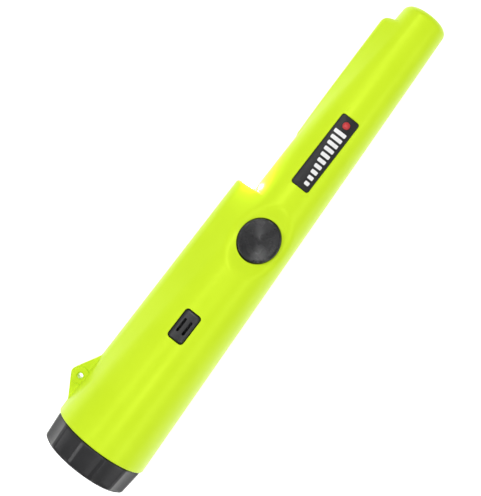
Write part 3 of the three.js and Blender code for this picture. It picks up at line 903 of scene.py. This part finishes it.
def curved_plate(name, centre, length, width, corner, proud, floor, edge):
    """A plate that follows the front skin, with a rounded edge and a level floor."""
    rings = []
    base = rounded_outline(length, width, corner) + centre
    rings.append(np.column_stack([base, np.full(len(base), floor)]))
    for turn in np.radians(np.linspace(0, 90, 5)):
        inset = edge * (1 - math.cos(turn))
        drop = edge * (1 - math.sin(turn))
        round_off = max(corner - inset, 0.05)
        outline = rounded_outline(length - 2 * inset, width - 2 * inset, round_off) + centre
        height = front_height(outline[:, 0], outline[:, 1]) + proud - drop
        rings.append(np.column_stack([outline, height]))
    for share in (0.8, 0.6, 0.4, 0.2, 0.06):
        inset = min(length, width) / 2 * (1 - share) + edge * share
        round_off = max((corner - edge) * share, 0.01)
        outline = rounded_outline(length - 2 * inset, width - 2 * inset, round_off) + centre
        height = front_height(outline[:, 0], outline[:, 1]) + proud
        rings.append(np.column_stack([outline, height]))
    count = len(base)
    points = np.concatenate(rings)
    faces = [tuple(reversed(range(count)))]
    for i in range(len(rings) - 1):
        for j in range(count):
            k = (j + 1) % count
            faces.append((i * count + j, i * count + k, (i + 1) * count + k, (i + 1) * count + j))
    faces.append(tuple((len(rings) - 1) * count + j for j in range(count)))
    obj = add_mesh(name, points, faces)
    face_out(obj)
    return obj


def make_grille():
    low, high = span("speaker_grille")
    centre = np.array([GRILLE.x, GRILLE.y])
    length, width = high.x - low.x, high.y - low.y
    grille = curved_plate("grille", centre, length, width, GRILLE_CORNER, 0, low.z, 0.9)
    for side in (-1, 1):
        place = centre + np.array([0, side * SLOT_OFFSET])
        outline = rounded_outline(SLOT_LENGTH, SLOT_WIDTH, 0.55, 4) + place
        cut(grille, prism("slot", outline, 5, 30))
    crisp(grille, 32)
    finish_piece(grille, LOOKS["black_plastic"], "root", ["speaker_grille"])


def make_plate():
    low, high = span("name_plate")
    centre = np.array([PLATE.x, PLATE.y])
    length, width = high.x - low.x, high.y - low.y
    plate = curved_plate("plate", centre, length, width, 1.1, 0, low.z + 0.1, 0.25)
    finish_piece(plate, LOOKS["plate_plastic"], "root", ["name_plate"])
    add_plate_marks(centre, length)


def add_plate_marks(centre, length):
    """A generic signal mark: bars that grow towards the tip, and a red dot."""
    bars = 10
    first = centre[0] - length / 2 + 3.2
    pitch = (length - 11) / (bars - 1)
    layer = curved_plate("ink_layer", centre, length - 1, 8, 1, 0.05, PLATE.z, 0.02)
    parts = []
    for i in range(bars):
        tall = 2.2 + 3.6 * i / (bars - 1)
        place = np.array([first + i * pitch, centre[1] - (5.4 - tall) / 2])
        parts.append(ink_mark("bar", place, 1.7, tall, 0.4, layer))
    white = merge_objects("plate_bars", parts)
    finish_piece(white, print_ink("white_ink", (0.8, 0.8, 0.8), (0.86, 0.86, 0.86)), "root")
    place = np.array([centre[0] + length / 2 - 3.8, centre[1]])
    dot = ink_mark("plate_dot", place, 3.2, 3.2, 1.59, layer)
    discard(layer)
    finish_piece(dot, print_ink("red_ink", (0.55, 0.03, 0.035), (0.62, 0.045, 0.05)), "root")


def ink_mark(name, place, length, width, corner, layer):
    """One printed mark: an outline's share of the thin ink layer on the plate."""
    shape = prism(name, rounded_outline(length, width, corner, 6) + place, PLATE.z - 3, 30)
    return joined(shape, layer, "INTERSECT", keep_tool=True)


# ---------------------------------------------------------------- lamp and screws


def make_lamp():
    low, high = span("led_lamp")
    start = high.x - LAMP_RADIUS
    profile = [[low.x, 0], [low.x, 2.9], [low.x + 1, 2.9], [low.x + 1, LAMP_RADIUS]]
    for turn in np.radians(np.linspace(0, 90, 14)):
        profile.append([start + LAMP_RADIUS * math.sin(turn), LAMP_RADIUS * math.cos(turn)])
    lamp = turned("lamp_lens", profile, 64, "X", (0, LAMP.y, 0))
    finish_piece(lamp, LOOKS["lamp_plastic"], "root", ["led_lamp"])


def make_screws():
    """Pan heads with a cross recess."""
    for i in range(1, SCREW_COUNT + 1):
        low, high = span(f"shell_screw_{i}")
        place = middle(f"shell_screw_{i}")
        head = (high.x - low.x) / 2
        head_top = low.z + 1.7
        profile = [[low.z, 0], [low.z, head - 0.6], [low.z + 0.15, head - 0.25],
                   [low.z + 0.6, head], [head_top, head], [head_top, 1], [high.z - 1, 1],
                   [high.z, 0]]
        screw = turned(f"screw_{i}", profile, 40, "Z", (place.x, place.y, 0))
        for long_x, long_y in ((1.3, 0.3), (0.3, 1.3)):
            cut(screw, block("cross", (place.x - long_x, place.y - long_y, low.z - 1),
                             (place.x + long_x, place.y + long_y, low.z + 0.8)))
        crisp(screw, 32)
        finish_piece(screw, LOOKS["plated_steel"], "root", [f"shell_screw_{i}"])


# ---------------------------------------------------------------- parts kept from the frame


def dress_frame_nodes():
    """Every CAD node gets its slot's material."""
    slots = {row["node"]: row["material_slot"] for row in frame["record"]["subparts"]}
    for name, obj in frame["nodes"].items():
        obj.data.materials.clear()
        obj.data.materials.append(LOOKS[slots[name]])


# ---------------------------------------------------------------- camera, floor, light


def add_camera():
    """Straight above the probe, which lies across the view with its tip up and right."""
    lean = math.radians(52.3)
    distance = 0.446
    tall_view = 0.2126
    camera = bpy.data.cameras.new("camera")
    camera.lens = 36 * distance / tall_view
    obj = bpy.data.objects.new("camera", camera)
    obj.location = (0.1136, 0.0033, distance)
    obj.rotation_euler = (0, 0, -lean)
    bpy.context.scene.collection.objects.link(obj)
    bpy.context.scene.camera = obj


def add_floor():
    half = 25.0
    low = CAD_LOW.z - 0.0002
    mesh = bpy.data.meshes.new("floor")
    corners = [(-half, -half, low), (half, -half, low), (half, half, low), (-half, half, low)]
    mesh.from_pydata(corners, [], [(0, 1, 2, 3)])
    floor = bpy.data.objects.new("floor", mesh)
    bpy.context.scene.collection.objects.link(floor)
    made, tree, shader = new_material("floor_white", (0.9, 0.9, 0.9), 0.9)
    paper = object_noise(tree, 60, 3)
    ramp = ramp_between(tree, paper.outputs["Fac"], (0.89, 0.89, 0.89), (0.91, 0.91, 0.91))
    tree.links.new(ramp.outputs["Color"], shader.inputs["Base Color"])
    shader.inputs["Specular IOR Level"].default_value = 0
    shader.inputs["Emission Color"].default_value = (1, 1, 1, 1)
    shader.inputs["Emission Strength"].default_value = 0.6
    mesh.materials.append(made)


# Name, place, two side lengths in metres and power in watts
AREA_LIGHTS = (
    ("strip_upper", (0.12, 0.26, 0.6), 1.2, 0.12, 1.4),
    ("strip_lower", (0.1, -0.62, 0.5), 0.9, 0.2, 1.55),
    ("box_near", (-0.3, 0.42, 0.55), 0.12, 0.12, 0.6),
    ("box_far", (0.54, 0.42, 0.55), 0.12, 0.12, 0.6),
    ("box_tip", (0.27, 0.11, 0.5), 0.06, 0.06, 0.36),
    ("box_rear", (0.02, -0.085, 0.5), 0.06, 0.06, 0.25),
)
AREA_AIM = (0.12, 0, 0)


def add_area(name, place, size_x, size_y, power):
    light = bpy.data.lights.new(name, "AREA")
    light.shape = "RECTANGLE"
    light.size = size_x
    light.size_y = size_y
    light.energy = power
    obj = bpy.data.objects.new(name, light)
    obj.location = place
    toward = Vector(AREA_AIM) - Vector(place)
    obj.rotation_euler = toward.to_track_quat("-Z", "Y").to_euler()
    bpy.context.scene.collection.objects.link(obj)


def add_lights():
    world = bpy.data.worlds.new("studio")
    world.use_nodes = True
    world.node_tree.nodes["Background"].inputs["Color"].default_value = (1, 1, 1, 1)
    world.node_tree.nodes["Background"].inputs["Strength"].default_value = 0.385
    bpy.context.scene.world = world
    for row in AREA_LIGHTS:
        add_area(*row)
    add_lamp_glow()


def add_lamp_glow():
    """The lamp's own light on the step and the tube in front of it."""
    glow = bpy.data.lights.new("lamp_glow", "POINT")
    glow.energy = 0.009
    glow.shadow_soft_size = 0.0015
    spot = bpy.data.objects.new("lamp_glow", glow)
    lamp_tip = span("led_lamp")[1].x * MM
    spot.location = (lamp_tip + 0.001, LAMP.y * MM, 0.008)
    bpy.context.scene.collection.objects.link(spot)


add_camera()
add_floor()
add_lights()
dress_frame_nodes()
make_shells()
make_cap()
make_collar()
make_seal()
make_button()
make_grille()
make_plate()
make_lamp()
make_screws()

bpy.context.scene.view_settings.view_transform = "Standard"
